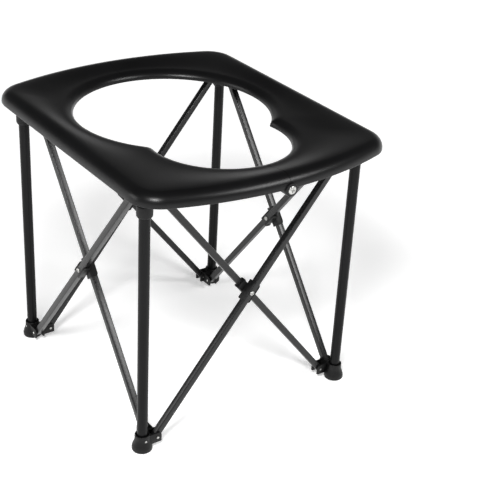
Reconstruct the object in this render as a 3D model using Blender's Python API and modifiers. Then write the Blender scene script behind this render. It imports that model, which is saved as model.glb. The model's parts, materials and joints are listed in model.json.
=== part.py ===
"""Portable camp toilet: a folding steel frame under a hinged plastic seat.

Metres, +Z up. The origin is on the floor under the middle of the seat.
The front, with the narrow end of the seat's hole, faces -Y.

The frame has four legs and, on each side, two braces that cross like scissors.
Legs and sides are numbered 0 to 3 anticlockwise, starting at the front left leg
and at the front side. On side n, the outer brace rises from foot n to head n + 1,
and the inner brace rises from foot n + 1 to head n.
"""

import math

import bmesh
import bpy
from mathutils import Matrix, Vector

# Frame
LEG_SPACING = 0.288
LEG_OFFSET = LEG_SPACING / 2
FOOT_PIN_HEIGHT = 0.013
HEAD_PIN_HEIGHT = 0.328
PIN_REACH = 0.0175          # from a leg's axis to its clevis pins
LAYER_STEP = 0.012          # the inner braces lie this far inside the outer ones
CLEARANCE = 0.0003          # between pieces that touch

# Legs
TUBE_RADIUS = 0.0064
TUBE_WALL = 0.0009
TUBE_BOTTOM = 0.0043
TUBE_TOP = 0.317
INNER_TUBE_RADIUS = 0.0050
INNER_TUBE_WALL = 0.0008
INNER_TUBE_BOTTOM = 0.150
INNER_TUBE_TOP = 0.334
COLLAR_RADIUS = 0.0091
COLLAR_BOTTOM = 0.3045
COLLAR_TOP = 0.319
COLLAR_CHAMFER = 0.0022

# Feet and heads
FOOT_BASE_RADIUS = 0.01225
FOOT_BASE_EDGE = 0.0052
FOOT_BODY_RADIUS = 0.0087
FOOT_TOP = 0.0215
HEAD_BOTTOM = COLLAR_TOP + CLEARANCE
HEAD_SHOULDER = 0.3365
HEAD_TOP = 0.3402
HEAD_CAP_RADIUS = 0.0064
ARM_HALF_HEIGHT = 0.0066
ARM_TIP = 0.0055
SLOT_HALF_WIDTH = 0.0045
CHEEK = 0.0020
SLOT_START = 0.0105

# Braces, saddles, pins and rivets
BRACE_WIDTH = 0.0080
BRACE_THICKNESS = 0.0080
BRACE_WALL = 0.0009
SADDLE_LENGTH = 0.026
SADDLE_WALL = 0.0017
SADDLE_WEB = 0.00155
PIN_RADIUS = 0.0015
PIN_HOLE_RADIUS = 0.0019
PIN_HEAD_RADIUS = 0.0025
PIN_HEAD_HEIGHT = 0.0010
RIVET_HEAD_RADIUS = 0.0030
RIVET_TAIL_RADIUS = 0.0028

# Seat
SEAT_HALF_WIDTH = 0.167
SEAT_HALF_LENGTH = 0.206
SEAT_END_RADIUS = 0.449
SEAT_CORNER_RADIUS = 0.0386
SEAT_BOTTOM = 0.3295
SEAT_TOP = 0.345
SEAT_WALL = 0.0028
RIM_EDGE = 0.0025           # straight part of the rim, above its bottom
RIM_WIDTH = 0.014           # from the outline to the rim's crest
HOLE_CREST = 0.3405
HOLE_BOTTOM = 0.330
HOLE_ROLL = 0.008
HOLE_BIG_RADIUS = 0.1195
HOLE_BIG_CENTRE = 0.0325
HOLE_SMALL_RADIUS = 0.0823
HOLE_SMALL_CENTRE = -0.0704
SEAT_GAP = 0.00025          # from each half to the fold plane
SECTION_STEP = 4            # degrees between the seat's cross-sections

# Seat hinges
HINGE_HEIGHT = 0.329
KNUCKLE_RADIUS = 0.008
KNUCKLE_LENGTH = 0.0070
KNUCKLE_START = SEAT_HALF_LENGTH + 0.0002
BOLT_RADIUS = 0.0025
BOLT_HOLE_RADIUS = 0.0031
BOLT_HEAD_RADIUS = 0.0049
BOLT_HEAD_HEIGHT = 0.0029
BOSS_WIDTH = 0.013
BOSS_TOP = 0.337

PIN_SPAN = LEG_SPACING - 2 * PIN_REACH
PIN_RISE = HEAD_PIN_HEIGHT - FOOT_PIN_HEIGHT
BRACE_LENGTH = math.hypot(PIN_SPAN, PIN_RISE)
BRACE_ANGLE = math.atan2(PIN_RISE, PIN_SPAN)
CROSSING_HEIGHT = (FOOT_PIN_HEIGHT + HEAD_PIN_HEIGHT) / 2

CORNERS = ("front_left", "front_right", "back_right", "back_left")
SIDES = ("front", "right", "back", "left")
OUTER_FIRST = ("front", "right")    # sides where the fold reaches the outer brace first
PART = "camp_toilet"


# ---------------------------------------------------------------- scene set-up

def clear_scene():
    for thing in list(bpy.data.objects):
        bpy.data.objects.remove(thing, do_unlink=True)
    collection = bpy.data.collections.new(PART)
    bpy.context.scene.collection.children.link(collection)
    return collection


def material(name, color, roughness, metallic):
    made = bpy.data.materials.new(name)
    made.use_nodes = True
    shader = made.node_tree.nodes["Principled BSDF"]
    shader.inputs["Base Color"].default_value = (*color, 1.0)
    shader.inputs["Roughness"].default_value = roughness
    shader.inputs["Metallic"].default_value = metallic
    return made


# ------------------------------------------------------------- shape functions

def temporary(mesh):
    """An object that exists only while a mesh is being worked out."""
    thing = bpy.data.objects.new(mesh.name, mesh)
    bpy.context.scene.collection.objects.link(thing)
    return thing


def settled(thing, name):
    """The mesh of an object with its modifiers and transform applied."""
    bpy.context.view_layer.update()
    graph = bpy.context.evaluated_depsgraph_get()
    mesh = bpy.data.meshes.new_from_object(thing.evaluated_get(graph))
    mesh.name = name
    mesh.transform(thing.matrix_world)
    bpy.data.objects.remove(thing, do_unlink=True)
    return mesh


def box(low, high):
    """A box between two corners."""
    low, high = Vector(low), Vector(high)
    mesh = bpy.data.meshes.new("box")
    shape = bmesh.new()
    bmesh.ops.create_cube(shape, size=1.0)
    bmesh.ops.scale(shape, vec=high - low, verts=shape.verts)
    bmesh.ops.translate(shape, vec=(low + high) / 2, verts=shape.verts)
    shape.to_mesh(mesh)
    shape.free()
    return mesh


def turned(profile, steps, axis="Z", centre=(0, 0, 0)):
    """A profile of (radius, height) points, from top to bottom, turned about an axis."""
    mesh = bpy.data.meshes.new("profile")
    closed = profile[0][0] > 0
    count = len(profile)
    edges = [(n, n + 1) for n in range(count - 1)] + ([(count - 1, 0)] if closed else [])
    mesh.from_pydata([(radius, 0, height) for radius, height in profile], edges, [])
    thing = temporary(mesh)
    screw = thing.modifiers.new("turn", "SCREW")
    screw.steps = screw.render_steps = steps
    screw.use_merge_vertices = True
    screw.merge_threshold = 0.00001
    thing.location = centre
    if axis == "X":
        thing.rotation_euler = (0, math.pi / 2, 0)
    if axis == "Y":
        thing.rotation_euler = (-math.pi / 2, 0, 0)
    return settled(thing, "turned")


def cylinder(radius, start, end, axis, centre, steps=8):
    """A round rod; start and end are measured along the axis."""
    profile = [(0, end), (radius, end), (radius, start), (0, start)]
    return turned(profile, steps, axis, centre)


def slab(outline, thickness, axis, centre):
    """A flat outline of (along, up) points; axis is the direction of its thickness."""
    curve = bpy.data.curves.new("outline", "CURVE")
    curve.dimensions = "2D"
    curve.fill_mode = "BOTH"
    curve.extrude = thickness / 2
    spline = curve.splines.new("POLY")
    spline.points.add(len(outline) - 1)
    for point, (along, up) in zip(spline.points, outline):
        point.co = (along, up, 0, 1)
    spline.use_cyclic_u = True
    thing = temporary(curve)
    along = Vector((1, 0, 0)) if axis == "Y" else Vector((0, 1, 0))
    up = Vector((0, 0, 1))
    turn = Matrix((along, up, along.cross(up))).transposed()
    thing.matrix_world = Matrix.Translation(centre) @ turn.to_4x4()
    mesh = settled(thing, "slab")
    shape = bmesh.new()
    shape.from_mesh(mesh)
    bmesh.ops.remove_doubles(shape, verts=shape.verts, dist=0.00001)
    bmesh.ops.dissolve_limit(
        shape, angle_limit=math.radians(1), verts=shape.verts, edges=shape.edges
    )
    bmesh.ops.recalc_face_normals(shape, faces=shape.faces)
    shape.to_mesh(mesh)
    shape.free()
    return mesh


def combined(name, base, joined=(), cut=()):
    """The base with some meshes joined to it and others cut from it."""
    body = temporary(base)
    tools = []
    for operation, meshes in (("UNION", joined), ("DIFFERENCE", cut)):
        for mesh in meshes:
            tool = temporary(mesh)
            tool.hide_render = True
            tool.display_type = "WIRE"
            change = body.modifiers.new(operation.lower(), "BOOLEAN")
            change.operation = operation
            change.solver = "EXACT"
            change.object = tool
            tools.append(tool)
    mesh = settled(body, name)
    for tool in tools:
        bpy.data.objects.remove(tool, do_unlink=True)
    mesh.set_sharp_from_angle(angle=math.radians(35))
    return mesh


def mirrored(mesh, normal_axis):
    """A mirror image, with its faces turned to point outwards again."""
    copy = mesh.copy()
    scale = [1, 1, 1]
    scale["XYZ".index(normal_axis)] = -1
    copy.transform(Matrix.Diagonal((*scale, 1)))
    copy.flip_normals()
    return copy


# ----------------------------------------------------------------- leg pieces

def swapped(point, swap):
    return (point[1], point[0], point[2]) if swap else point


def span(low, high, swap):
    return box(swapped(low, swap), swapped(high, swap))


def arm_outline(start, pin_height, half_height, rounding):
    """The side of a clevis arm: an upright end with rounded corners, above and below the pin."""
    points = [(start, pin_height - half_height), (start, pin_height + half_height)]
    end = PIN_REACH + ARM_TIP
    for side, radius in ((1, rounding), (-1, 0.0015)):
        corner = []
        for degrees in (90, 60, 30, 0):
            angle = math.radians(degrees)
            along = end - radius + radius * math.cos(angle)
            up = half_height - radius + radius * math.sin(angle)
            corner.append((along, pin_height + side * up))
        points += corner if side > 0 else corner[::-1]
    return points


def clevis_piece(name, profile, socket, pin_height, swap):
    """A round body with two clevises: one in the outer brace layer, one in the inner.

    With swap False the outer clevis points along +X and the inner one along +Y.
    """
    width = 2 * (SLOT_HALF_WIDTH + CHEEK)
    outer_axis, inner_axis = ("X", "Y") if swap else ("Y", "X")
    low = pin_height - 2 * ARM_HALF_HEIGHT
    high = pin_height + 2 * ARM_HALF_HEIGHT
    reach = PIN_REACH + 2 * ARM_TIP
    cheek_end = SLOT_HALF_WIDTH + CHEEK
    outer_arm = slab(
        arm_outline(0.001, pin_height, ARM_HALF_HEIGHT, 0.0045), width, outer_axis, (0, 0, 0)
    )
    inner_arm = slab(
        arm_outline(SLOT_HALF_WIDTH + 0.0002, pin_height, ARM_HALF_HEIGHT - 0.0003, 0.0045),
        width - 0.0002,
        inner_axis,
        swapped((LAYER_STEP, 0, 0), swap),
    )
    outer_slot = span(
        (SLOT_START, -SLOT_HALF_WIDTH, low), (reach, SLOT_HALF_WIDTH, high), swap
    )
    inner_slot = span(
        (LAYER_STEP - SLOT_HALF_WIDTH, SLOT_START, low),
        (LAYER_STEP + SLOT_HALF_WIDTH, reach, high),
        swap,
    )
    outer_hole = cylinder(
        PIN_HOLE_RADIUS,
        -cheek_end - 0.001,
        cheek_end + 0.0003,
        outer_axis,
        swapped((PIN_REACH, 0, pin_height), swap),
    )
    inner_hole = cylinder(
        PIN_HOLE_RADIUS,
        -cheek_end - 0.001,
        cheek_end + 0.001,
        inner_axis,
        swapped((LAYER_STEP, PIN_REACH, pin_height), swap),
    )
    return combined(
        name,
        turned(profile, 16),
        joined=(outer_arm, inner_arm),
        cut=(outer_slot, inner_slot, outer_hole, inner_hole, socket),
    )


def foot_mesh():
    profile = [
        (0, FOOT_TOP),
        (FOOT_BODY_RADIUS, FOOT_TOP),
        (FOOT_BODY_RADIUS, 0.0140),
        (FOOT_BODY_RADIUS + 0.0008, 0.0110),
        (FOOT_BODY_RADIUS + 0.0027, 0.0080),
        (FOOT_BASE_RADIUS, FOOT_BASE_EDGE),
        (FOOT_BASE_RADIUS, 0.0008),
        (FOOT_BASE_RADIUS - 0.0008, 0),
        (0, 0),
    ]
    socket = cylinder(
        TUBE_RADIUS + CLEARANCE + 0.0001,
        TUBE_BOTTOM - CLEARANCE,
        FOOT_TOP + 0.005,
        "Z",
        (0, 0, 0),
        16,
    )
    return clevis_piece("foot", profile, socket, FOOT_PIN_HEIGHT, False)


def head_mesh():
    profile = [
        (0, HEAD_TOP),
        (HEAD_CAP_RADIUS, HEAD_TOP),
        (FOOT_BODY_RADIUS, HEAD_SHOULDER),
        (FOOT_BODY_RADIUS, HEAD_BOTTOM),
        (0, HEAD_BOTTOM),
    ]
    socket = cylinder(
        INNER_TUBE_RADIUS + CLEARANCE + 0.0001,
        HEAD_BOTTOM - 0.005,
        INNER_TUBE_TOP + CLEARANCE,
        "Z",
        (0, 0, 0),
        16,
    )
    return clevis_piece("head", profile, socket, HEAD_PIN_HEIGHT, True)


def tube_mesh(name, radius, wall, bottom, top):
    profile = [(radius, top), (radius, bottom), (radius - wall, bottom), (radius - wall, top)]
    mesh = turned(profile, 16)
    mesh.name = name
    mesh.set_sharp_from_angle(angle=math.radians(35))
    return mesh


def collar_mesh():
    bore = TUBE_RADIUS + CLEARANCE + 0.0001
    lip = INNER_TUBE_RADIUS + CLEARANCE + 0.0002
    profile = [
        (COLLAR_RADIUS - 0.0006, COLLAR_TOP),
        (COLLAR_RADIUS, COLLAR_TOP - 0.0006),
        (COLLAR_RADIUS, COLLAR_BOTTOM + COLLAR_CHAMFER),
        (COLLAR_RADIUS - 0.0012, COLLAR_BOTTOM),
        (bore, COLLAR_BOTTOM),
        (bore, TUBE_TOP + CLEARANCE),
        (lip, TUBE_TOP + CLEARANCE),
        (lip, COLLAR_TOP),
    ]
    mesh = turned(profile, 16)
    mesh.name = "collar"
    mesh.set_sharp_from_angle(angle=math.radians(25))
    return mesh


# --------------------------------------------------------- braces and fasteners

def brace_mesh():
    """A flat-sided tube along X, its thickness along Y, with three cross holes."""
    half = BRACE_LENGTH / 2
    outline = []
    for end in (1, -1):
        for degrees in range(90, -91, -45):
            angle = math.radians(degrees)
            along = half + BRACE_WIDTH / 2 * math.cos(angle)
            outline.append((end * along, end * BRACE_WIDTH / 2 * math.sin(angle)))
    bar = slab(outline, BRACE_THICKNESS, "Y", (0, 0, 0))
    inside = BRACE_WIDTH / 2 - BRACE_WALL
    depth = BRACE_THICKNESS / 2 - BRACE_WALL
    bore = box((-half - BRACE_WIDTH, -depth, -inside), (half + BRACE_WIDTH, depth, inside))
    holes = [
        cylinder(PIN_HOLE_RADIUS, -BRACE_THICKNESS, BRACE_THICKNESS, "Y", (x, 0, 0))
        for x in (-half, 0, half)
    ]
    return combined("brace", bar, cut=(bore, *holes))


def saddle_mesh():
    """A channel that holds a brace at the crossing; its web lies at +Y."""
    inside = BRACE_WIDTH / 2 + CLEARANCE
    face = BRACE_THICKNESS / 2 + CLEARANCE
    outside = inside + SADDLE_WALL
    block = box(
        (-SADDLE_LENGTH / 2, -BRACE_THICKNESS / 2, -outside),
        (SADDLE_LENGTH / 2, face + SADDLE_WEB, outside),
    )
    channel = box((-SADDLE_LENGTH, -BRACE_THICKNESS, -inside), (SADDLE_LENGTH, face, inside))
    hole = cylinder(PIN_HOLE_RADIUS, 0, 2 * BRACE_THICKNESS, "Y", (0, 0, 0))
    return combined("saddle", block, cut=(channel, hole))


def domed(radius, height, start, direction):
    """Profile points of a low domed head, from its rim to its centre."""
    return [
        (radius, start),
        (radius, start + direction * height * 0.35),
        (radius * 0.72, start + direction * height * 0.85),
        (0, start + direction * height),
    ]


def pin_mesh(name, low, high, head_radius, head_height, tail_radius=0):
    """A headed pin along Y, its head at the low end; a tail radius closes the other end."""
    head = domed(head_radius, head_height, low, -1)
    if tail_radius:
        tail = domed(tail_radius, head_height * 0.8, high, 1)[::-1] + [(PIN_RADIUS, high)]
    else:
        tail = [(0, high), (PIN_RADIUS, high)]
    profile = tail + [(PIN_RADIUS, low)] + head
    mesh = turned(profile, 8, "Y")
    mesh.name = name
    mesh.set_sharp_from_angle(angle=math.radians(40))
    return mesh


def bolt_mesh():
    """A hinge bolt along Y, its head at -Y, centred on the front hinge's outer face."""
    length = 3 * KNUCKLE_LENGTH + 2 * CLEARANCE
    low = -0.0003
    profile = [
        (0, length),
        (BOLT_RADIUS, length),
        (BOLT_RADIUS, low),
        *domed(BOLT_HEAD_RADIUS, BOLT_HEAD_HEIGHT, low, -1),
    ]
    mesh = turned(profile, 12, "Y")
    mesh.name = "hinge_bolt"
    mesh.set_sharp_from_angle(angle=math.radians(40))
    return mesh


# ------------------------------------------------------------------------ seat

def outline_distance(angle, inset):
    """From the seat's centre to its outline, moved in by an inset.

    The angle runs from the front (0) round the side (90 degrees) to the back.
    """
    across, along = abs(math.sin(angle)), abs(math.cos(angle))
    end_centre = SEAT_HALF_LENGTH - SEAT_END_RADIUS
    corner_x = SEAT_HALF_WIDTH - SEAT_CORNER_RADIUS
    arc_gap = SEAT_END_RADIUS - SEAT_CORNER_RADIUS
    corner_y = end_centre + math.sqrt(arc_gap**2 - corner_x**2)
    if across > 0:
        to_side = (SEAT_HALF_WIDTH - inset) / across
        if to_side * along <= corner_y:
            return to_side
    to_end = circle_distance(across, along, 0, end_centre, SEAT_END_RADIUS - inset)
    if to_end * across <= corner_x * (SEAT_END_RADIUS - inset) / arc_gap:
        return to_end
    return circle_distance(across, along, corner_x, corner_y, SEAT_CORNER_RADIUS - inset)


def circle_distance(x, y, centre_x, centre_y, radius):
    """How far the ray from the origin along (x, y) goes before it leaves a circle."""
    middle = x * centre_x + y * centre_y
    offset = centre_x**2 + centre_y**2 - radius**2
    return middle + math.sqrt(middle**2 - offset)


def hole_distance(angle, outset):
    """From the seat's centre to the hole's edge, moved out by an outset."""
    x, y = math.sin(angle), -math.cos(angle)
    big = circle_distance(x, y, 0, HOLE_BIG_CENTRE, HOLE_BIG_RADIUS + outset)
    small = circle_distance(x, y, 0, HOLE_SMALL_CENTRE, HOLE_SMALL_RADIUS + outset)
    return max(big, small)


def rim_arc(width, height, degrees):
    """Inset and height of a point on the rim's rounding, 90 degrees at its crest."""
    angle = math.radians(degrees)
    inset = RIM_WIDTH - width * math.cos(angle)
    return inset, SEAT_BOTTOM + RIM_EDGE + height * math.sin(angle)


def roll_arc(radius, degrees):
    """Outset and height of a point on the rounding round the hole."""
    angle = math.radians(degrees)
    centre = HOLE_CREST - HOLE_ROLL
    return HOLE_ROLL - radius * math.cos(angle), centre + radius * math.sin(angle)


def seat_section(angle):
    """One cross-section of the seat shell: (distance, height) points in a loop."""
    rim_height = SEAT_TOP - SEAT_BOTTOM - RIM_EDGE
    crest = outline_distance(angle, RIM_WIDTH)
    lip = hole_distance(angle, HOLE_ROLL)
    sides = []
    for wall in (0, SEAT_WALL):
        rim = [(wall, SEAT_BOTTOM)]
        rim += [rim_arc(RIM_WIDTH - wall, rim_height - wall, d) for d in (0, 30, 60, 90)]
        side = [(outline_distance(angle, inset), z) for inset, z in rim]
        for part in (1 / 3, 2 / 3):
            drop = (SEAT_TOP - HOLE_CREST) * part**2 * (3 - 2 * part)
            side.append((crest + (lip - crest) * part, SEAT_TOP - wall - drop))
        roll = [roll_arc(HOLE_ROLL - wall, d) for d in (90, 45, 0)]
        roll.append((wall, HOLE_BOTTOM))
        side += [(hole_distance(angle, outset), z) for outset, z in roll]
        sides.append(side)
    return sides[0] + sides[1][::-1]


def seat_shell():
    """The left half's shell, lofted round from the front fold to the back fold."""
    notch = math.atan2(*notch_point())
    angles = sorted({math.radians(d) for d in range(0, 181, SECTION_STEP)} | {notch})
    shape = bmesh.new()
    rings = []
    for angle in angles:
        ring = []
        for distance, height in seat_section(angle):
            x = min(-distance * math.sin(angle), -SEAT_GAP)
            ring.append(shape.verts.new((x, -distance * math.cos(angle), height)))
        rings.append(ring)
    count = len(rings[0])
    for one, two in zip(rings, rings[1:]):
        for n in range(count):
            m = (n + 1) % count
            shape.faces.new((one[n], one[m], two[m], two[n]))
    shape.faces.new(rings[0][::-1])
    shape.faces.new(rings[-1])
    bmesh.ops.recalc_face_normals(shape, faces=shape.faces)
    mesh = bpy.data.meshes.new("seat_shell")
    shape.to_mesh(mesh)
    shape.free()
    return mesh


def notch_point():
    """Where the hole's two circles meet, as distances to the side and to the front."""
    gap = HOLE_BIG_CENTRE - HOLE_SMALL_CENTRE
    from_big = (gap**2 + HOLE_BIG_RADIUS**2 - HOLE_SMALL_RADIUS**2) / (2 * gap)
    side = math.sqrt(HOLE_BIG_RADIUS**2 - from_big**2)
    return side, from_big - HOLE_BIG_CENTRE


def knuckle_range(number):
    """Where a hinge knuckle starts and ends, inwards from the seat's end."""
    start = number * (KNUCKLE_LENGTH + CLEARANCE)
    return KNUCKLE_START - start, KNUCKLE_START - start - KNUCKLE_LENGTH


def seat_half(name, own, other):
    """The left half of the seat with its own knuckles and room for the other half's."""
    joined, cut = [], []
    stack_end = knuckle_range(2)[1]
    for end in (-1, 1):
        y_range = sorted((end * (SEAT_HALF_LENGTH - SEAT_WALL / 2), end * (stack_end + 0.0004)))
        low = (-BOSS_WIDTH, y_range[0], SEAT_BOTTOM + 0.0002)
        joined.append(box(low, (-SEAT_GAP - 0.0001, y_range[1], BOSS_TOP)))
        centre = (0, 0, HINGE_HEIGHT)
        for number in own:
            start, finish = sorted(end * edge for edge in knuckle_range(number))
            joined.append(cylinder(KNUCKLE_RADIUS, start, finish, "Y", centre, 16))
        for number in other:
            start, finish = sorted(end * edge for edge in knuckle_range(number))
            room = KNUCKLE_RADIUS + 0.0005
            start, finish = start - 0.00025, finish + 0.00025
            cut.append(cylinder(room, start, finish, "Y", centre, 16))
        reach = sorted((end * (KNUCKLE_START + 0.002), end * (stack_end - 0.002)))
        cut.append(cylinder(BOLT_HOLE_RADIUS, *reach, "Y", centre, 12))
    return combined(name, seat_shell(), joined, cut)


# -------------------------------------------------------------------- assembly

def place(collection, name, mesh, finish, location, turn, pivot):
    """One node: a mesh at a location, turned, and parented to its body's empty."""
    thing = bpy.data.objects.new(name, mesh)
    collection.objects.link(thing)
    thing.parent = pivot
    thing.matrix_parent_inverse = Matrix.Identity(4)
    local = Matrix.Translation(Vector(location) - pivot.location)
    thing.matrix_basis = local @ turn
    if not mesh.materials:
        mesh.materials.append(None)
    slot = thing.material_slots[0]
    slot.link = "OBJECT"
    slot.material = finish.copy()
    slot.material.name = name
    return thing


def empty(collection, name, location):
    """The turning point of a body."""
    point = bpy.data.objects.new(name, None)
    point.empty_display_size = 0.01
    point.location = location
    collection.objects.link(point)
    return point


def quarter(number):
    return Matrix.Rotation(math.radians(90 * number), 4, "Z")


def leg_place(number):
    return quarter(number) @ Vector((-LEG_OFFSET, -LEG_OFFSET, 0))


def foot_pin_place(side, at_start):
    """The foot pin of a side's outer brace (at_start) or of its inner brace."""
    x = -PIN_SPAN / 2 if at_start else PIN_SPAN / 2
    y = -LEG_OFFSET + (0 if at_start else LAYER_STEP)
    return quarter(side) @ Vector((x, y, FOOT_PIN_HEIGHT))


def head_pin_place(side, at_start):
    """The head pin of a side's inner brace (at_start) or of its outer brace."""
    x = -PIN_SPAN / 2 if at_start else PIN_SPAN / 2
    y = -LEG_OFFSET + (LAYER_STEP if at_start else 0)
    return quarter(side) @ Vector((x, y, HEAD_PIN_HEIGHT))


def build_legs(collection, looks):
    foot, head, collar = foot_mesh(), head_mesh(), collar_mesh()
    tube = tube_mesh("leg_tube", TUBE_RADIUS, TUBE_WALL, TUBE_BOTTOM, TUBE_TOP)
    inner = tube_mesh(
        "inner_tube", INNER_TUBE_RADIUS, INNER_TUBE_WALL, INNER_TUBE_BOTTOM, INNER_TUBE_TOP
    )
    outward = SLOT_HALF_WIDTH + CHEEK + CLEARANCE
    pin = pin_mesh("clevis_pin", -outward, outward - 0.0006, PIN_HEAD_RADIUS, PIN_HEAD_HEIGHT)
    half_turn = Matrix.Rotation(math.pi, 4, "Z")
    for number, corner in enumerate(CORNERS):
        location, turn = leg_place(number), quarter(number)
        before = (number - 1) % 4
        leg_spot = foot_pin_place(before, False)
        if corner == "back_left":
            leg_spot = foot_pin_place(number, True)
        top_spot = head_pin_place(number, True)
        if SIDES[before] in OUTER_FIRST:
            top_spot = head_pin_place(before, False)
        leg = empty(collection, "pivot_leg_" + corner, leg_spot)
        top = empty(collection, "pivot_head_" + corner, top_spot)
        pieces = (
            ("foot_", foot, "plastic", leg),
            ("leg_tube_", tube, "steel", leg),
            ("collar_", collar, "plastic", leg),
            ("inner_tube_", inner, "inner_steel", top),
            ("head_", head, "plastic", top),
        )
        for prefix, mesh, look, pivot in pieces:
            place(collection, prefix + corner, mesh, looks[look], location, turn, pivot)
        pins = (
            ("foot_pin_", foot_pin_place(number, True), quarter(number), leg, "a"),
            ("foot_pin_", foot_pin_place(before, False), quarter(before) @ half_turn, leg, "b"),
            ("head_pin_", head_pin_place(before, False), quarter(before), top, "a"),
            ("head_pin_", head_pin_place(number, True), quarter(number) @ half_turn, top, "b"),
        )
        for prefix, spot, pin_turn, pivot, letter in pins:
            name = prefix + corner + "_" + letter
            place(collection, name, pin, looks["zinc"], spot, pin_turn, pivot)


def build_sides(collection, looks):
    brace, saddle = brace_mesh(), saddle_mesh()
    face = BRACE_THICKNESS / 2 + CLEARANCE
    rivet = pin_mesh(
        "cross_rivet", -face, LAYER_STEP + face, RIVET_HEAD_RADIUS, 0.0015, RIVET_TAIL_RADIUS
    )
    for number, side in enumerate(SIDES):
        turn = quarter(number)
        outer_spot = turn @ Vector((0, -LEG_OFFSET, CROSSING_HEIGHT))
        inner_spot = turn @ Vector((0, -LEG_OFFSET + LAYER_STEP, CROSSING_HEIGHT))
        outer_turn = turn @ Matrix.Rotation(-BRACE_ANGLE, 4, "Y")
        inner_turn = turn @ Matrix.Rotation(BRACE_ANGLE, 4, "Y")
        outer_pivot, inner_pivot = outer_spot, foot_pin_place(number, False)
        if side in OUTER_FIRST:
            outer_pivot, inner_pivot = foot_pin_place(number, True), inner_spot
        outer = empty(collection, "pivot_outer_" + side, outer_pivot)
        inner = empty(collection, "pivot_inner_" + side, inner_pivot)
        flip = Matrix.Rotation(math.pi, 4, "X")
        pieces = (
            ("brace_outer_", brace, "steel", outer_spot, outer_turn, outer),
            ("saddle_outer_", saddle, "plastic", outer_spot, outer_turn, outer),
            ("cross_rivet_", rivet, "zinc", outer_spot, outer_turn, outer),
            ("brace_inner_", brace, "steel", inner_spot, inner_turn, inner),
            ("saddle_inner_", saddle, "plastic", inner_spot, inner_turn @ flip, inner),
        )
        for prefix, mesh, look, spot, piece_turn, pivot in pieces:
            place(collection, prefix + side, mesh, looks[look], spot, piece_turn, pivot)


def build_seat(collection, looks):
    hinge = empty(collection, "pivot_seat", (0, 0, HINGE_HEIGHT))
    still = Matrix.Identity(4)
    left = seat_half("seat_left", own=(0, 2), other=(1,))
    right = mirrored(seat_half("seat_right", own=(1,), other=(0, 2)), "X")
    for name, mesh in (("seat_left", left), ("seat_right", right)):
        mesh.set_sharp_from_angle(angle=math.radians(35))
        place(collection, name, mesh, looks["seat"], (0, 0, 0), still, hinge)
    bolt = bolt_mesh()
    for name, number in (("hinge_bolt_front", 0), ("hinge_bolt_back", 2)):
        turn = quarter(number)
        spot = turn @ Vector((0, -KNUCKLE_START, HINGE_HEIGHT))
        place(collection, name, bolt, looks["zinc"], spot, turn, hinge)


def main():
    collection = clear_scene()
    looks = {
        "seat": material("seat_plastic", (0.012, 0.012, 0.013), 0.42, 0.0),
        "plastic": material("black_plastic", (0.010, 0.010, 0.010), 0.55, 0.0),
        "steel": material("black_steel", (0.014, 0.014, 0.015), 0.38, 0.0),
        "inner_steel": material("inner_steel", (0.020, 0.020, 0.021), 0.32, 0.0),
        "zinc": material("bright_zinc", (0.62, 0.62, 0.60), 0.30, 1.0),
    }
    build_legs(collection, looks)
    build_sides(collection, looks)
    build_seat(collection, looks)


main()
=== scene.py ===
"""Looks for the portable camp toilet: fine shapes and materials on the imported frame."""
import json
import math

import bmesh
import bpy
from mathutils import Matrix, Vector


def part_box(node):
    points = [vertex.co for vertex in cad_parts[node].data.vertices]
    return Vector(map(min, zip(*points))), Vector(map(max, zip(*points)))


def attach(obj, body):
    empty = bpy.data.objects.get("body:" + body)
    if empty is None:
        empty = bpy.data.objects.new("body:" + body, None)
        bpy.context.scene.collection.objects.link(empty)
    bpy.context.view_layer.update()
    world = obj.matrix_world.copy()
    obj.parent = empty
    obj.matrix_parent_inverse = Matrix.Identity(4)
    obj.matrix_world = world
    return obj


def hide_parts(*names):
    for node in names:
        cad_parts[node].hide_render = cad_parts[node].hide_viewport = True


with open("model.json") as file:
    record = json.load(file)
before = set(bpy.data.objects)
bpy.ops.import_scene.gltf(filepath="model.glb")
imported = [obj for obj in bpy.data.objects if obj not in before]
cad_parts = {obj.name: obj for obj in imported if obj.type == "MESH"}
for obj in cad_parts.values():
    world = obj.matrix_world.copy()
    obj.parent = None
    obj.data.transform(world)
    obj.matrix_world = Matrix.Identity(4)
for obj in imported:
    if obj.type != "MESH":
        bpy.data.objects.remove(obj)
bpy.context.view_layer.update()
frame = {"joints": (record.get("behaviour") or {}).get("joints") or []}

CORNERS = ("front_left", "front_right", "back_right", "back_left")
SIDES = ("front", "right", "back", "left")


def middle(node):
    low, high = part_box(node)
    return (low + high) / 2


def size(node):
    low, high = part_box(node)
    return high - low


JOINTS = {joint["name"]: joint for joint in frame["joints"]}

# Sizes taken from the CAD nodes, in metres
LEG = abs(middle("leg_tube_front_left").x)
TUBE_R = size("leg_tube_front_left").x / 2
TUBE_LOW, TUBE_HIGH = (corner.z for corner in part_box("leg_tube_front_left"))
INNER_R = size("inner_tube_front_left").x / 2
INNER_LOW, INNER_HIGH = (corner.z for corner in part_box("inner_tube_front_left"))
COLLAR_R = size("collar_front_left").x / 2
COLLAR_LOW, COLLAR_HIGH = (corner.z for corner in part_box("collar_front_left"))
FOOT_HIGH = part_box("foot_front_left")[1].z
FOOT_R = -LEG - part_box("foot_front_left")[0].x
ARM_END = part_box("foot_front_left")[1].x + LEG
HEAD_LOW, HEAD_HIGH = (corner.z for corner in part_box("head_front_left"))
FOOT_PIN = Vector(JOINTS["frame_fold"]["pos_m"])
HEAD_PIN = Vector(JOINTS["head_pivot_front_left"]["pos_m"])
LAYER = HEAD_PIN.y - FOOT_PIN.y
REACH = FOOT_PIN.x + LEG
SPAN = -2 * FOOT_PIN.x
RISE = HEAD_PIN.z - FOOT_PIN.z
ANGLE = math.atan2(RISE, SPAN)
LENGTH = math.hypot(RISE, SPAN)
CROSS_Z = (HEAD_PIN.z + FOOT_PIN.z) / 2
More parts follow.
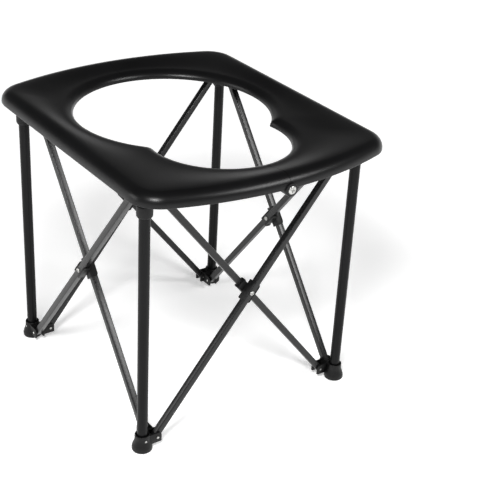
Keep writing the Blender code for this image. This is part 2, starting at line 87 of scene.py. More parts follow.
BOLT = middle("hinge_bolt_front")
BOLT_R = size("hinge_bolt_front").x / 2
BOLT_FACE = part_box("hinge_bolt_front")[0].y
SEAT_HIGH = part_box("seat_left")[1].z
SEAT_X = -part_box("seat_left")[0].x
# The seat's box takes in its knuckles, so its rim's lower edge is set from the bolt
SEAT_LOW = BOLT.z + 0.0005

# Sizes that the CAD boxes don't give
BRACE = 0.0080  # side of the square tube
ARM = 0.0066  # half the height of a clevis
CHEEK = 0.0020  # thickness of a clevis's cheek
SLOT = 0.0045  # from a clevis's middle to its cheek
PLAY = 0.0002  # gap between pieces that fit closely
LOOSE = 0.0003  # gap between pieces that slide or turn

# Blender's noise lies mostly between these
NOISE_LOW, NOISE_HIGH = 0.3, 0.7


# ------------------------------------------------------------------ materials

def nodes_of(name, color, roughness, metallic, specular):
    made = bpy.data.materials.new(name)
    made.use_nodes = True
    shader = made.node_tree.nodes["Principled BSDF"]
    shader.inputs["Base Color"].default_value = (*color, 1)
    shader.inputs["Roughness"].default_value = roughness
    shader.inputs["Metallic"].default_value = metallic
    shader.inputs["Specular IOR Level"].default_value = specular
    return made, made.node_tree, shader


def noise(tree, scale, detail, stretch=(1, 1, 1)):
    place = tree.nodes.new("ShaderNodeTexCoord")
    mapping = tree.nodes.new("ShaderNodeMapping")
    mapping.inputs["Scale"].default_value = stretch
    texture = tree.nodes.new("ShaderNodeTexNoise")
    texture.inputs["Scale"].default_value = scale
    texture.inputs["Detail"].default_value = detail
    tree.links.new(place.outputs["Object"], mapping.inputs["Vector"])
    tree.links.new(mapping.outputs["Vector"], texture.inputs["Vector"])
    return texture


def spread(tree, source, low, high, socket):
    """Drives a socket with a texture, from low to high."""
    change = tree.nodes.new("ShaderNodeMapRange")
    change.inputs["From Min"].default_value = NOISE_LOW
    change.inputs["From Max"].default_value = NOISE_HIGH
    change.inputs["To Min"].default_value = low
    change.inputs["To Max"].default_value = high
    tree.links.new(source.outputs["Fac"], change.inputs["Value"])
    tree.links.new(change.outputs["Result"], socket)


def tint(tree, source, dark, light, socket):
    """Drives a colour socket with a texture, from dark to light."""
    ramp = tree.nodes.new("ShaderNodeValToRGB")
    ramp.color_ramp.elements[0].position = NOISE_LOW
    ramp.color_ramp.elements[0].color = (*dark, 1)
    ramp.color_ramp.elements[1].position = NOISE_HIGH
    ramp.color_ramp.elements[1].color = (*light, 1)
    tree.links.new(source.outputs["Fac"], ramp.inputs["Fac"])
    tree.links.new(ramp.outputs["Color"], socket)


def bump(tree, shader, sources, strength, distance):
    """Adds the textures together and raises the surface with their sum."""
    total = sources[0].outputs["Fac"]
    for source in sources[1:]:
        add = tree.nodes.new("ShaderNodeMath")
        add.operation = "ADD"
        tree.links.new(total, add.inputs[0])
        tree.links.new(source.outputs["Fac"], add.inputs[1])
        total = add.outputs[0]
    node = tree.nodes.new("ShaderNodeBump")
    node.inputs["Strength"].default_value = strength
    node.inputs["Distance"].default_value = distance
    tree.links.new(total, node.inputs["Height"])
    tree.links.new(node.outputs["Normal"], shader.inputs["Normal"])


def coated(name, dark, light, rough, specular, grain, strength):
    """A black moulded or coated surface: cloudy colour and gloss, and a fine grain."""
    made, tree, shader = nodes_of(name, light, rough[0], 0.0, specular)
    broad = noise(tree, 18, 4)
    fine = noise(tree, grain, 3)
    finest = noise(tree, grain * 2.7, 2)
    tint(tree, broad, dark, light, shader.inputs["Base Color"])
    spread(tree, fine, *rough, shader.inputs["Roughness"])
    bump(tree, shader, (fine, finest), strength, 0.0001)
    return made


SEAT = coated("seat_moulded", (0.0030, 0.0030, 0.0032), (0.0046, 0.0046, 0.0049),
              (0.28, 0.35), 0.24, 1500, 0.16)
PLASTIC = coated("fitting_moulded", (0.0026, 0.0026, 0.0027), (0.0042, 0.0042, 0.0043),
                 (0.42, 0.54), 0.26, 1200, 0.10)
STEEL = coated("powder_coat", (0.0034, 0.0034, 0.0036), (0.0052, 0.0052, 0.0055),
               (0.25, 0.32), 0.38, 900, 0.04)
# The legs' coat is the braces' powder coat made a little darker in colour and much less glossy.
# It is painted shade, standing in for how dark the round legs look under this light.
LEGS_PAINTED_SHADE = coated("leg_coat_painted_shade", (0.0032, 0.0032, 0.0034), (0.0048, 0.0048, 0.0051),
              (0.27, 0.34), 0.14, 900, 0.04)
INNER = coated("inner_coat", (0.0045, 0.0045, 0.0047), (0.0065, 0.0065, 0.0068),
               (0.24, 0.32), 0.42, 1100, 0.06)


def zinc(name):
    made, tree, shader = nodes_of(name, (0.6, 0.6, 0.58), 0.3, 1.0, 0.5)
    cloud = noise(tree, 260, 4)
    brushed = noise(tree, 900, 2, (1, 6, 1))
    tint(tree, cloud, (0.40, 0.40, 0.39), (0.60, 0.60, 0.58), shader.inputs["Base Color"])
    spread(tree, brushed, 0.22, 0.40, shader.inputs["Roughness"])
    bump(tree, shader, (brushed,), 0.12, 0.00005)
    return made


ZINC = zinc("bright_zinc")


# --------------------------------------------------------------- mesh helpers

def shape_to_mesh(shape, name, sharp=32):
    bmesh.ops.recalc_face_normals(shape, faces=shape.faces)
    mesh = bpy.data.meshes.new(name)
    shape.to_mesh(mesh)
    shape.free()
    mesh.shade_smooth()
    mesh.set_sharp_from_angle(angle=math.radians(sharp))
    return mesh


def piece(name, mesh, finish, body, nodes, place=None):
    thing = bpy.data.objects.new(name, mesh)
    bpy.context.scene.collection.objects.link(thing)
    if not mesh.materials:
        mesh.materials.append(finish)
    thing.matrix_world = place or Matrix.Identity(4)
    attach(thing, body)
    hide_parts(*nodes)
    return thing


def arc(along, up, radius, start, end, count):
    """Points on an arc, from one angle to another in degrees."""
    points = []
    for n in range(count + 1):
        angle = math.radians(start + (end - start) * n / count)
        points.append((along + radius * math.cos(angle), up + radius * math.sin(angle)))
    return points


def turned(shape, profile, steps=48, place=None):
    """Adds a profile of (radius, height) points turned about Z; radius 0 closes it."""
    place = place or Matrix.Identity(4)
    rings = []
    for radius, height in profile:
        if radius < 1e-7:
            rings.append([shape.verts.new(place @ Vector((0, 0, height)))])
            continue
        ring = []
        for n in range(steps):
            angle = math.tau * n / steps
            point = Vector((radius * math.cos(angle), radius * math.sin(angle), height))
            ring.append(shape.verts.new(place @ point))
        rings.append(ring)
    pairs = list(zip(rings, rings[1:]))
    if profile[0][0] > 1e-7:
        pairs.append((rings[-1], rings[0]))
    for one, two in pairs:
        for n in range(steps):
            m = (n + 1) % steps
            if len(one) == 1:
                corners = [one[0], two[m], two[n]]
            elif len(two) == 1:
                corners = [one[n], one[m], two[0]]
            else:
                corners = [one[n], one[m], two[m], two[n]]
            shape.faces.new(corners)


BEVEL_FROM = math.radians(50)


def plate(shape, outline, low, high, place, soft=0.0004):
    """Adds a flat plate: an (x, z) outline between two y values, its edges rounded."""
    own = bmesh.new()
    base = [own.verts.new((x, low, z)) for x, z in outline]
    lid = [own.verts.new((x, high, z)) for x, z in outline]
    own.faces.new(base)
    own.faces.new(lid[::-1])
    count = len(outline)
    for n in range(count):
        m = (n + 1) % count
        own.faces.new((base[n], base[m], lid[m], lid[n]))
    bmesh.ops.recalc_face_normals(own, faces=own.faces)
    edges = [edge for edge in own.edges if edge.calc_face_angle(0) > BEVEL_FROM]
    bmesh.ops.bevel(
        own, geom=edges, offset=soft, segments=2, profile=0.5, affect="EDGES",
        clamp_overlap=True,
    )
    own.transform(place)
    own.normal_update()
    holder = bpy.data.meshes.new("holder")
    own.to_mesh(holder)
    own.free()
    shape.from_mesh(holder)
    bpy.data.meshes.remove(holder)


def block(shape, low, high, place, soft=0.0004):
    """Adds a box between two corners, its edges rounded."""
    outline = [(low[0], low[2]), (high[0], low[2]), (high[0], high[2]), (low[0], high[2])]
    plate(shape, outline, low[1], high[1], place, soft)


def quarter(number):
    """A turn of so many quarters about Z, from the front side or the front left corner."""
    return Matrix.Rotation(math.radians(90 * number), 4, "Z")


# ----------------------------------------------------------------------- legs

# Where the two clevises of a foot or head start, from the leg's axis
OUTER_START, INNER_START = 0.0030, 0.0045
# (radius, height) points of the low ring round a pin, on the outside of a cheek
PIN_RING = ((0.0020, -0.0006), (0.0028, -0.0006), (0.0028, 0.0000), (0.0026, 0.0002),
            (0.0022, 0.0002), (0.0020, 0.0000))
# (distance out from the rim, height) points of a foot's flare
FOOT_FLARE = ((0.0, 0.0175), (0.0001, 0.0158), (0.0003, 0.0142), (0.0007, 0.0126),
              (0.0013, 0.0108), (0.0020, 0.0090), (0.0027, 0.0072))


def arm_outline(start, height):
    """A clevis cheek from the side: a nearly square lower corner, a rounder upper one."""
    low, high = height - ARM, height + ARM
    small, large = 0.0016, 0.0046
    return (
        [(start, high), (start, low)]
        + arc(ARM_END - small, low + small, small, -90, 0, 4)
        + arc(ARM_END - large, high - large, large, 0, 90, 8)
    )


def clevis(shape, place, height, start):
    """Two cheeks and the block that ties them to the leg, pointing along local +X."""
    for side in (1, -1):
        near, far = sorted((side * SLOT, side * (SLOT + CHEEK)))
        plate(shape, arm_outline(start, height), near, far, place)
        spot = place @ Matrix.Translation((REACH, side * (SLOT + CHEEK), height))
        turn = Matrix.Rotation(-side * math.pi / 2, 4, "X")
        turned(shape, PIN_RING, 32, spot @ turn)
    block_end = 0.0103
    block(
        shape, (start, -SLOT - LOOSE, height - ARM + 0.0006),
        (block_end, SLOT + LOOSE, height + ARM - 0.0010), place,
    )


def two_clevises(shape, foot):
    """The outer clevis and the inner one, at right angles, on a foot or on a head."""
    along_x = Matrix.Identity(4)
    along_y = Matrix.Rotation(math.pi / 2, 4, "Z")
    if foot:
        height = FOOT_PIN.z
        outer, inner = along_x, Matrix.Translation((LAYER, 0, 0)) @ along_y
    else:
        height = HEAD_PIN.z
        outer, inner = along_y, Matrix.Translation((0, LAYER, 0)) @ along_x
    clevis(shape, outer, height, OUTER_START)
    clevis(shape, inner, height, INNER_START)


def foot_mesh():
    """A moulded foot: a cup for the tube with a lip, and a skirt that flares to the floor."""
    shape = bmesh.new()
    bore, cup_floor = TUBE_R + PLAY, TUBE_LOW - PLAY
    rim, round_edge = 0.0089, 0.0019
    profile = (
        [(0, cup_floor), (bore, cup_floor), (bore, FOOT_HIGH - 0.0042)]
        + [(0.0077, FOOT_HIGH - 0.0030), (0.0078, FOOT_HIGH - 0.0006)]
        + arc(0.00835, FOOT_HIGH - 0.0006, 0.00055, 180, 0, 6)
        + [(rim + out, height) for out, height in FOOT_FLARE]
        + [(FOOT_R - 0.0002, 0.0054), (FOOT_R, 0.0040), (FOOT_R, 0.0028)]
        + arc(FOOT_R - round_edge, round_edge, round_edge, 0, -90, 6)
        + [(0.0068, 0.0), (0.0060, 0.0008), (0, 0.0008)]
    )
    turned(shape, profile, 64)
    two_clevises(shape, foot=True)
    return shape_to_mesh(shape, "foot")


def head_mesh():
    """A moulded head: a cap on the inner tube, grooved round its side, with a dimple on top."""
    shape = bmesh.new()
    bore = INNER_R + LOOSE
    body, groove = 0.0084, 0.0003
    lower, upper = 0.0006, 0.0032
    profile = (
        [(0, INNER_HIGH + LOOSE), (bore, INNER_HIGH + LOOSE), (bore, HEAD_LOW)]
        + arc(body - lower, HEAD_LOW + lower, lower, -90, 0, 4)
        + [(body, HEAD_LOW + 0.0060), (body - groove, HEAD_LOW + 0.0064)]
        + [(body - groove, HEAD_LOW + 0.0076), (body, HEAD_LOW + 0.0080)]
        + [(body, HEAD_HIGH - 0.0042)]
        + arc(body - upper, HEAD_HIGH - upper, upper, 18, 90, 8)
        + [(0.0030, HEAD_HIGH), (0.0025, HEAD_HIGH - 0.0005), (0, HEAD_HIGH - 0.0005)]
    )
    turned(shape, profile, 64)
    two_clevises(shape, foot=False)
    return shape_to_mesh(shape, "head")


def tube_mesh(radius, wall, low, high):
    """A round tube with a small bevel at its ends, along Z."""
    shape = bmesh.new()
    edge, parts = 0.0003, 12
    profile = (
        [(radius - edge, high), (radius, high - edge)]
        + [(radius, low + (high - low) * n / parts) for n in range(parts - 1, 0, -1)]
        + [(radius, low + edge), (radius - edge, low)]
        + [(radius - wall + edge, low), (radius - wall, low + edge)]
        + [(radius - wall, high - edge), (radius - wall + edge, high)]
    )
    turned(shape, profile, 64)
    return shape_to_mesh(shape, "tube")


def collar_mesh():
    """A moulded cap: a smooth body, a step in below, and a slightly sunk top."""
    shape = bmesh.new()
    low, high, radius = COLLAR_LOW, COLLAR_HIGH, COLLAR_R
    bore, lip = TUBE_R + LOOSE, INNER_R + LOOSE
    shoulder = TUBE_HIGH + PLAY
    profile = (
        [(lip, high - 0.0009), (lip + 0.0006, high - 0.0003), (lip + 0.0014, high)]
        + arc(radius - 0.0008, high - 0.0008, 0.0008, 90, 0, 5)
        + [(radius, low + 0.0050), (radius - 0.0001, low + 0.0030)]
        + arc(radius - 0.0010, low + 0.0024, 0.0009, 0, -60, 4)
        + [(radius - 0.0013, low + 0.0010)]
        + arc(radius - 0.0017, low + 0.0004, 0.0004, 20, -90, 4)
        + [(bore, low), (bore, shoulder), (lip, shoulder)]
    )
    turned(shape, profile, 64)
    return shape_to_mesh(shape, "collar")


def pin_mesh(half, head, height, shank):
    """A headed pin along Y, its head at -Y and a small pressed tail at +Y."""
    shape = bmesh.new()
    top = half + height
    profile = (
        [(0, top), (head * 0.40, top - height * 0.04)]
        + [(head * 0.70, top - height * 0.20), (head * 0.90, top - height * 0.48)]
        + [(head, top - height * 0.80), (head, half)]
        + [(shank, half), (shank, -half + 0.0002), (shank - 0.0003, -half)]
        + [(shank * 0.5, -half), (shank * 0.4, -half + 0.0003), (0, -half + 0.0003)]
    )
    turned(shape, profile, 32, Matrix.Rotation(math.pi / 2, 4, "X"))
    return shape_to_mesh(shape, "pin", 40)


def leg_spot(number):
    """Where a corner's leg meets the floor."""
    return quarter(number) @ Vector((-LEG, -LEG, 0))


def pin_spot(side, at_start, foot):
    """The pin at one end of a side's brace; at_start is the end at the corner of its number."""
    outer = at_start == foot
    x = -SPAN / 2 if at_start else SPAN / 2
    y = -LEG if outer else -LEG + LAYER
    return quarter(side) @ Vector((x, y, FOOT_PIN.z if foot else HEAD_PIN.z))


def build_legs():
    foot, head, collar = foot_mesh(), head_mesh(), collar_mesh()
    tube = tube_mesh(TUBE_R, wall=0.0009, low=TUBE_LOW, high=TUBE_HIGH)
    inner = tube_mesh(INNER_R, wall=0.0008, low=INNER_LOW, high=INNER_HIGH)
    pin = pin_mesh(half=SLOT + CHEEK + LOOSE, head=0.0017, height=0.0007, shank=0.0014)
    rivet = pin_mesh(half=0.0089, head=0.0014, height=0.0005, shank=0.0011)
    rivet_rise = Vector((0, 0, FOOT_PIN.z + 0.0018))
    half_turn = Matrix.Rotation(math.pi, 4, "Z")
    for number, corner in enumerate(CORNERS):
        place = Matrix.Translation(leg_spot(number)) @ quarter(number)
        before = (number - 1) % 4
        leg, top = "leg_" + corner, "head_" + corner
        for mesh, finish, body, node, slot in (
            (foot, PLASTIC, leg, "foot_", "black_plastic"),
            (tube, LEGS_PAINTED_SHADE, leg, "leg_tube_", "black_steel"),
            (collar, PLASTIC, leg, "collar_", "black_plastic"),
            (inner, INNER, top, "inner_tube_", "inner_steel"),
            (head, PLASTIC, top, "head_", "black_plastic"),
        ):
            node += corner
            piece("shown_" + node, mesh, finish, body, (node,), place)
        for prefix, foot_end in (("foot_pin_", True), ("head_pin_", False)):
            body = leg if foot_end else top
            sides = (number, before) if foot_end else (before, number)
            turns = (quarter(sides[0]), quarter(sides[1]) @ half_turn)
            for letter, side, turn in zip("ab", sides, turns):
                node = prefix + corner + "_" + letter
                spot = pin_spot(side, side == number, foot_end)
                place_pin = Matrix.Translation(spot) @ turn
                piece("shown_" + node, pin, ZINC, body, (node,), place_pin)
        spot = Matrix.Translation(leg_spot(number) + rivet_rise)
        piece("foot_rivet_" + corner, rivet, ZINC, leg, (), spot @ quarter(number))


# ---------------------------------------------------------------------- sides

def brace_mesh():
    """A square tube with rounded corners and rounded, closed ends, along X."""
    shape = bmesh.new()
    half, end = BRACE / 2, LENGTH / 2
    corner = 0.0011
    # (place along X, share of the full height), from the middle of the round end inwards
    round_end = [math.radians(degrees) for degrees in (86, 75, 60, 45, 30, 15, 0)]
    stations = [(end + half * math.sin(a), math.cos(a)) for a in round_end]
    stations += [(end * part, 1) for part in (0.75, 0.5, 0.25, 0)]
    stations += [(-x, share) for x, share in stations[-2::-1]]
    rings = []
    for x, share in stations:
        height = max(half * share, corner)
        ring = []
        for side, rise, start in ((1, 1, 0), (-1, 1, 90), (-1, -1, 180), (1, -1, 270)):
            bend = arc(side * (half - corner), rise * (height - corner), corner,
                       start, start + 90, 4)
            ring += [shape.verts.new((x, y, z)) for y, z in bend]
        rings.append(ring)
    for one, two in zip(rings, rings[1:]):
        for n in range(len(one)):
            m = (n + 1) % len(one)
            shape.faces.new((one[n], one[m], two[m], two[n]))
    shape.faces.new(rings[0])
    shape.faces.new(rings[-1][::-1])
    return shape_to_mesh(shape, "brace", 40)


def saddle_mesh(tabs):
    """A moulded channel round a brace at the crossing, its web at +Y, with or without tabs."""
    shape = bmesh.new()
    here = Matrix.Identity(4)
    y_and_z_traded = Matrix(((1, 0, 0, 0), (0, 0, 1, 0), (0, 1, 0, 0), (0, 0, 0, 1)))
    half_long, wall, corner = 0.013, 0.0018, 0.0036
    tab, proud = 0.0010, 0.0007
    inside = face = BRACE / 2 + PLAY
    outside, back, edge = inside + wall, LAYER / 2 - PLAY, -BRACE / 2
    block(shape, (-half_long, face, -outside), (half_long, back, outside), here)
    outline = (
        [(-half_long, face + 0.0004)]
        + arc(-half_long + corner, edge + corner, corner, 180, 270, 6)
        + arc(half_long - corner, edge + corner, corner, 270, 360, 6)
        + [(half_long, face + 0.0004)]
    )
    for side in (1, -1):
        near, far = sorted((side * inside, side * outside))
        plate(shape, outline, near, far, y_and_z_traded)
        for x in (-half_long + tab, half_long - tab) if tabs else ():
            low, high = sorted((side * (outside - PLAY), side * (outside + proud)))
            block(shape, (x - tab, edge + 0.0030, low), (x + tab, back - PLAY, high),
                  here, soft=0.0002)
    return shape_to_mesh(shape, "saddle")


# (share of the radius, share of the height) points of a crossing rivet's sunk head
RIVET_HEAD = ((1, 0), (1, 0.30), (0.88, 0.72), (0.66, 1), (0.52, 0.90), (0.46, 0.40),
              (0, 0.40))


def cross_rivet_mesh():
    """A rivet along Y through both braces of a crossing, with a sunk head at each end."""
    shape = bmesh.new()
    face = BRACE / 2 + LOOSE
    head, height, shank = 0.0029, 0.0013, 0.0015
    near_end = [(head * out, face + height * up) for out, up in RIVET_HEAD]
    far_end = [(head * out, -LAYER - face - height * up) for out, up in RIVET_HEAD]
    profile = near_end[::-1] + [(shank, face), (shank, -LAYER - face)] + far_end
    turned(shape, profile, 40, Matrix.Rotation(math.pi / 2, 4, "X"))
    return shape_to_mesh(shape, "cross_rivet", 40)


def build_sides():
    brace, rivet = brace_mesh(), cross_rivet_mesh()
    smooth, tabbed = saddle_mesh(False), saddle_mesh(True)
    flip = Matrix.Rotation(math.pi, 4, "X")
    for number, side in enumerate(SIDES):
        turn = quarter(number)
        outer = Matrix.Translation(turn @ Vector((0, -LEG, CROSS_Z))) @ turn
        inner = Matrix.Translation(turn @ Vector((0, -LEG + LAYER, CROSS_Z))) @ turn
        outer = outer @ Matrix.Rotation(-ANGLE, 4, "Y")
        inner = inner @ Matrix.Rotation(ANGLE, 4, "Y")
        for prefix, mesh, finish, place, body, slot in (
            ("brace_outer_", brace, STEEL, outer, "outer_", "black_steel"),
            ("brace_inner_", brace, STEEL, inner, "inner_", "black_steel"),
            ("saddle_outer_", smooth, PLASTIC, outer, "outer_", "black_plastic"),
            ("saddle_inner_", tabbed, PLASTIC, inner @ flip, "inner_", "black_plastic"),
            ("cross_rivet_", rivet, ZINC, outer, "outer_", "zinc"),
        ):
            node = prefix + side
            piece("shown_" + node, mesh, finish, body + side, (node,), place)


# ----------------------------------------------------------------------- seat

SEAT_Y = 0.2060  # half the seat's length
END_R = 0.4490  # radius of its bowed ends
CORNER_R = 0.0386  # radius of its corners
HOLE_LARGE = (0.0325, 0.1195)  # centre's y and radius of the circles that make the hole
HOLE_SMALL = (-0.0704, 0.0823)
WALL = 0.0028
RIM = 0.0140  # width of the rolled outer rim
ROLL = 0.0125  # width of the roll round the hole
CREST = SEAT_HIGH - 0.0045  # the highest line of the roll round the hole
HOLE_LOW = SEAT_LOW + 0.0003
GAP = 0.00022  # from the fold's line to each half
SEAT_STEPS = 12  # rows of faces from the rim to the hole's roll
# (centre, reach) in degrees of the corners and the notch, where the sections stand close
FINE_SPANS = ((38, 13), (56, 7), (145, 13))

KNUCKLE_PITCH = 0.0073
KNUCKLE_LONG = 0.0070
KNUCKLE_R = 0.0079
KNUCKLE_BORE = 0.0029
KNUCKLE_PROUD = 0.0016  # how much further out the first knuckle stands
BOLT_END = 0.0216  # from the seat's end in to the end of the hinge bolt
NUT_START = 0.0217  # the same, to the nut's outer face


def ray_to_circle(x, y, cx, cy, radius):
    """How far a ray from the middle runs until it leaves a circle."""
    along = x * cx + y * cy
    return along + math.sqrt(max(along**2 - cx**2 - cy**2 + radius**2, 0))


def outline_distance(angle, inset):
    """To the seat's outline moved in by an inset: a side, a corner or a bowed end."""
    across, along = abs(math.sin(angle)), abs(math.cos(angle))
    end_y = SEAT_Y - END_R
    corner_x, gap = SEAT_X - CORNER_R, END_R - CORNER_R
    corner_y = end_y + math.sqrt(gap**2 - corner_x**2)
    if across > 0:
        to_side = (SEAT_X - inset) / across
        if to_side * along <= corner_y:
            return to_side
    to_end = ray_to_circle(across, along, 0, end_y, END_R - inset)
    if to_end * across <= corner_x * (END_R - inset) / gap:
        return to_end
    return ray_to_circle(across, along, corner_x, corner_y, CORNER_R - inset)


def hole_distance(angle, outset):
    """To the hole's edge moved out by an outset; the two circles run together softly."""
    x, y = math.sin(angle), -math.cos(angle)
    big = ray_to_circle(x, y, 0, HOLE_LARGE[0], HOLE_LARGE[1] + outset)
    small = ray_to_circle(x, y, 0, HOLE_SMALL[0], HOLE_SMALL[1] + outset)
    soft = 0.0016 + 0.85 * outset
    apart = max(soft - abs(big - small), 0) / soft
    return max(big, small) + apart**3 * soft / 6


def top_line(wall):
    """Section points over the seat: each is (kind, distance from its edge, height)."""
    rim_foot, rim_edge = 0.0025, 0.0010
    hole_foot, hole_edge = 0.0012, 0.0008
    rise = SEAT_HIGH - SEAT_LOW - rim_foot
    points = []
    if wall:
        points.append(("rim", wall, SEAT_LOW + 0.0002))
    else:
        points += [("rim", x + rim_edge, z) for x, z in
                   arc(0.0, SEAT_LOW + rim_edge, rim_edge, 270, 180, 4)]
    for degrees in range(0, 91, 9):
        angle = math.radians(degrees)
        width, height = RIM - wall, rise - wall
        points.append(("rim", RIM - width * math.cos(angle),
                       SEAT_LOW + rim_foot + height * math.sin(angle)))
    for n in range(1, SEAT_STEPS):
        part = n / SEAT_STEPS
        drop = (SEAT_HIGH - CREST) * (part**2 * (3 - 2 * part))
        points.append(("top", part, SEAT_HIGH - wall - drop))
    drop = CREST - HOLE_LOW - hole_foot
    for degrees in range(90, -1, -9):
        angle = math.radians(degrees)
        width, height = ROLL - wall, drop - wall
        points.append(("hole", ROLL - width * math.cos(angle),
                       HOLE_LOW + hole_foot + height * math.sin(angle)))
    if wall:
        points.append(("hole", wall, HOLE_LOW + 0.0002))
    else:
        points += [("hole", hole_edge + x, z) for x, z in
                   arc(0.0, HOLE_LOW + hole_edge, hole_edge, 180, 270, 4)]
    return points


def section(angle):
    """A closed loop of (distance from the middle, height) points: over the top, back below."""
    crest = outline_distance(angle, RIM)
    lip = hole_distance(angle, ROLL)
    loop = []
    for wall in (0, WALL):
        line = []
        for kind, amount, z in top_line(wall):
            if kind == "rim":
                distance = outline_distance(angle, amount)
            elif kind == "hole":
                distance = hole_distance(angle, amount)
            else:
                distance = crest + (lip - crest) * amount
            line.append((distance, z))
        loop += line[::-1] if wall else line
    return loop


def section_angles():
    """Where the sections stand, in degrees from the front to the back."""
    angles, angle = [0.0], 0.0
    while angle < 180:
        fine = any(abs(angle - centre) < reach for centre, reach in FINE_SPANS)
        angle = min(angle + (0.8 if fine else 2.0), 180)
        angles.append(angle)
    return angles


def seat_shell(shape):
    """Adds the left half's shell: sections from the front to the back, closed at the fold."""
    rings = []
    for degrees in section_angles():
        angle = math.radians(degrees)
        ring = []
        for distance, height in section(angle):
            x = min(-distance * math.sin(angle), -GAP)
            ring.append(shape.verts.new((x, -distance * math.cos(angle), height)))
        rings.append(ring)
    count = len(rings[0])
    for one, two in zip(rings, rings[1:]):
        for n in range(count):
            m = (n + 1) % count
            shape.faces.new((one[n], one[m], two[m], two[n]))
    shape.faces.new(rings[0][::-1])
    shape.faces.new(rings[-1])


def knuckle(shape, number, end):
    """Adds a hinge knuckle, beveled, on the axis at the front (end -1) or the back (1)."""
    start = SEAT_Y + PLAY - number * KNUCKLE_PITCH
    stop = start - KNUCKLE_LONG
    if number == 0:
        start += KNUCKLE_PROUD
    low, high = sorted((end * start, end * stop))
    edge = 0.0006
    soft = edge * 0.3
    profile = [
        (KNUCKLE_BORE, low), (KNUCKLE_R - edge, low), (KNUCKLE_R - soft, low + soft),
        (KNUCKLE_R, low + edge), (KNUCKLE_R, high - edge), (KNUCKLE_R - soft, high - soft),
        (KNUCKLE_R - edge, high), (KNUCKLE_BORE, high),
    ]
    place = Matrix.Translation((0, 0, BOLT.z)) @ Matrix.Rotation(-math.pi / 2, 4, "X")
    turned(shape, profile, 64, place)


def seat_half_mesh(own):
    """A left half: shell, its own knuckles and their webs, and a socket over each leg."""
    shape = bmesh.new()
    seat_shell(shape)
    low, high = HEAD_HIGH - 0.0046, SEAT_HIGH - 0.0018
    inside, outside, edge = 0.0092, 0.0112, 0.0004
    socket = [(inside, high), (inside, low + edge), (inside + edge, low),
              (outside - edge, low), (outside, low + edge), (outside, high)]
    for y in (-LEG, LEG):
        turned(shape, socket, 48, Matrix.Translation((-LEG, y, 0)))
    for end in (-1, 1):
        for number in own:
            knuckle(shape, number, end)
            start = SEAT_Y - 0.0008 - number * KNUCKLE_PITCH
            near, far = sorted((end * start, end * (start - 0.0055)))
            block(shape, (-0.0125, near, SEAT_LOW + 0.0004),
                  (-0.0020, far, SEAT_LOW + 0.0075), Matrix.Identity(4))
    return shape_to_mesh(shape, "seat_half", 38)


def mirrored(mesh):
    """A copy of a mesh on the other side of the fold."""
    copy = mesh.copy()
    copy.transform(Matrix.Diagonal((-1, 1, 1, 1)))
    copy.flip_normals()
    return copy


def cut_with(mesh, cutters):
    """A mesh with closed shapes cut from it."""
    body = bpy.data.objects.new("cut", mesh)
    bpy.context.scene.collection.objects.link(body)
    tools = []
    for cutter in cutters:
        tool = bpy.data.objects.new("cutter", cutter)
        bpy.context.scene.collection.objects.link(tool)
        change = body.modifiers.new("cut", "BOOLEAN")
        change.operation, change.solver, change.object = "DIFFERENCE", "EXACT", tool
        tools.append(tool)
    bpy.context.view_layer.update()
    done = bpy.data.meshes.new_from_object(
        body.evaluated_get(bpy.context.evaluated_depsgraph_get()))
    for thing in (body, *tools):
        bpy.data.objects.remove(thing, do_unlink=True)
    return done


def bolt_mesh():
    """A pan-head screw with a cross recess, its head at -Y."""
    shape = bmesh.new()
    radius, height = BOLT_R, 0.0015
    top = -BOLT_FACE + BOLT.y
    face = top - height
    tail = (SEAT_Y - BOLT_END) + BOLT.y
    shank = 0.0025
    profile = (
        [(0, top), (radius * 0.35, top - 0.00003), (radius * 0.66, top - 0.0002)]
        + [(radius * 0.85, top - 0.0005), (radius * 0.96, top - 0.0009)]
        + [(radius, face + 0.0003), (radius, face), (shank, face), (shank, tail), (0, tail)]
    )
    turned(shape, profile, 64, Matrix.Rotation(math.pi / 2, 4, "X"))
    sharp = 35
    mesh = shape_to_mesh(shape, "bolt", sharp)
    wide, long = 0.00055, 0.0026
    cutters = []
    for degrees in (20, 110):
        bar = bmesh.new()
        turn = Matrix.Rotation(math.radians(degrees), 4, "Y")
        block(bar, (-wide, -top - 0.001, -long), (wide, -top + 0.0016, long), turn,
              soft=0.0002)
        cutters.append(shape_to_mesh(bar, "bar"))
    cut = cut_with(mesh, cutters)
    cut.shade_smooth()
    cut.set_sharp_from_angle(angle=math.radians(sharp))
    return cut


def nut_mesh():
    """A thin hexagonal nut and the end of its screw, at the inner end of a hinge."""
    shape = bmesh.new()
    start = -BOLT.y - SEAT_Y + NUT_START
    radius, thick, screw = 0.0043, 0.0032, 0.0024
    outline = [(radius * math.cos(math.radians(a)), radius * math.sin(math.radians(a)))
               for a in range(0, 360, 60)]
    plate(shape, outline, start, start + thick, Matrix.Identity(4), soft=0.0003)
    end, top = -start - 0.0040, -start + 0.0002
    profile = [(0, end), (0.0020, end), (screw, end + 0.0004), (screw, top), (0, top)]
    turned(shape, profile, 32, Matrix.Rotation(math.pi / 2, 4, "X"))
    return shape_to_mesh(shape, "nut")


def build_seat():
    left = seat_half_mesh((0, 2))
    right = mirrored(seat_half_mesh((1,)))
    piece("shown_seat_left", left, SEAT, "seat_left", ("seat_left",))
    piece("shown_seat_right", right, SEAT, "seat_right", ("seat_right",))
    bolt, nut = bolt_mesh(), nut_mesh()
    for name, number in (("front", 0), ("back", 2)):
        spot = quarter(number) @ Vector((0, BOLT.y, BOLT.z))
        place = Matrix.Translation(spot) @ quarter(number)
        node = "hinge_bolt_" + name
        piece("shown_" + node, bolt, ZINC, "seat_hinge", (node,), place)
        piece("hinge_nut_" + name, nut, ZINC, "seat_hinge", (), place)


# ---------------------------------------------------------------------- stage

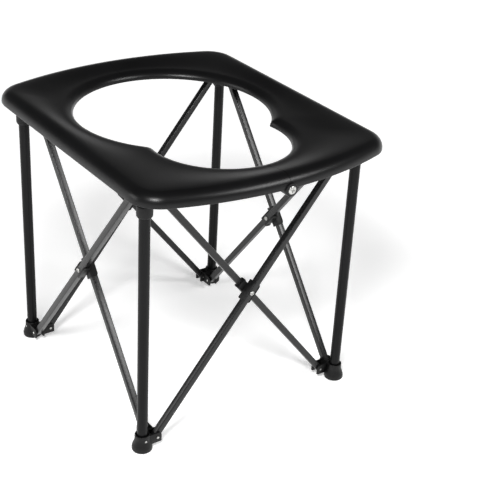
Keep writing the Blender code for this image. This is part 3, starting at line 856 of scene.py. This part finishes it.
def area(name, spot, target, width, height, power):
    """A rectangular light that points from a spot to a target."""
    light = bpy.data.lights.new(name, "AREA")
    light.shape = "RECTANGLE"
    light.size, light.size_y, light.energy = width, height, power
    thing = bpy.data.objects.new(name, light)
    bpy.context.scene.collection.objects.link(thing)
    thing.location = spot
    thing.rotation_euler = (Vector(target) - Vector(spot)).to_track_quat("-Z", "Y").to_euler()


def build_world():
    """A studio that is bright at and below the horizon and dark overhead."""
    world = bpy.data.worlds.new("studio")
    world.use_nodes = True
    tree = world.node_tree
    place = tree.nodes.new("ShaderNodeTexCoord")
    split = tree.nodes.new("ShaderNodeSeparateXYZ")
    ramp = tree.nodes.new("ShaderNodeValToRGB")
    tree.links.new(place.outputs["Generated"], split.inputs["Vector"])
    tree.links.new(split.outputs["Z"], ramp.inputs["Fac"])
    tree.links.new(ramp.outputs["Color"], tree.nodes["Background"].inputs["Color"])
    # (sine of the height above the horizon, brightness)
    stops = ((0.0, 1.0), (0.15, 0.55), (0.24, 0.18), (0.33, 0.07), (1.0, 0.05))
    marks = ramp.color_ramp.elements
    while len(marks) < len(stops):
        marks.new(0.5)
    for mark, (height, level) in zip(marks, stops):
        mark.position = height
        mark.color = (level, level, level, 1)
    bpy.context.scene.world = world


def build_stage():
    """A pale floor that gives off more light further out, the world and three lights."""
    shape = bmesh.new()
    bmesh.ops.create_grid(shape, x_segments=8, y_segments=8, size=6)
    floor_mesh = shape_to_mesh(shape, "floor")
    floor = bpy.data.objects.new("floor", floor_mesh)
    floor.location.z = -0.0002
    bpy.context.scene.collection.objects.link(floor)
    made, tree, shader = nodes_of("floor", (0.9, 0.9, 0.9), 0.9, 0.0, 0.0)
    cloud = noise(tree, 3, 2)
    tint(tree, cloud, (0.89, 0.89, 0.89), (0.91, 0.91, 0.91), shader.inputs["Base Color"])
    shader.inputs["Emission Color"].default_value = (1, 1, 1, 1)
    place = tree.nodes.new("ShaderNodeTexCoord")
    reach = tree.nodes.new("ShaderNodeVectorMath")
    reach.operation = "LENGTH"
    fade = tree.nodes.new("ShaderNodeMapRange")
    fade.inputs["From Min"].default_value = 0.4
    fade.inputs["From Max"].default_value = 2.2
    fade.inputs["To Min"].default_value = 0.40
    fade.inputs["To Max"].default_value = 0.98
    tree.links.new(place.outputs["Object"], reach.inputs[0])
    tree.links.new(reach.outputs["Value"], fade.inputs["Value"])
    tree.links.new(fade.outputs["Result"], shader.inputs["Emission Strength"])
    floor_mesh.materials.append(made)
    build_world()
    bpy.context.scene.view_settings.view_transform = "Standard"
    area("key", (-1.0, -0.95, 1.55), (0, 0, 0.2), 0.5, 0.35, 32)
    area("front_right", (0.98, -1.52, 1.62), (0, 0, 0.3), 0.9, 0.6, 27)
    area("left", (-2.2, 1.0, 1.0), (0, 0, 0.2), 1.2, 0.9, 14)


def build_camera():
    """An unshifted camera, fitted to the photograph with the whole seat kept in view."""
    data = bpy.data.cameras.new("camera")
    data.sensor_width = 36
    data.lens = 83.64
    camera = bpy.data.objects.new("camera", data)
    bpy.context.scene.collection.objects.link(camera)
    azimuth, pitch, roll = math.radians(36.88), math.radians(28.48), math.radians(3.46)
    turn = Matrix.Rotation(-azimuth, 4, "Z") @ Matrix.Rotation(math.pi / 2 - pitch, 4, "X")
    turn = turn @ Matrix.Rotation(roll, 4, "Z")
    camera.matrix_world = Matrix.Translation((-0.7043, -1.0780, 0.8605)) @ turn
    bpy.context.scene.camera = camera


build_legs()
build_sides()
build_seat()
build_stage()
build_camera()
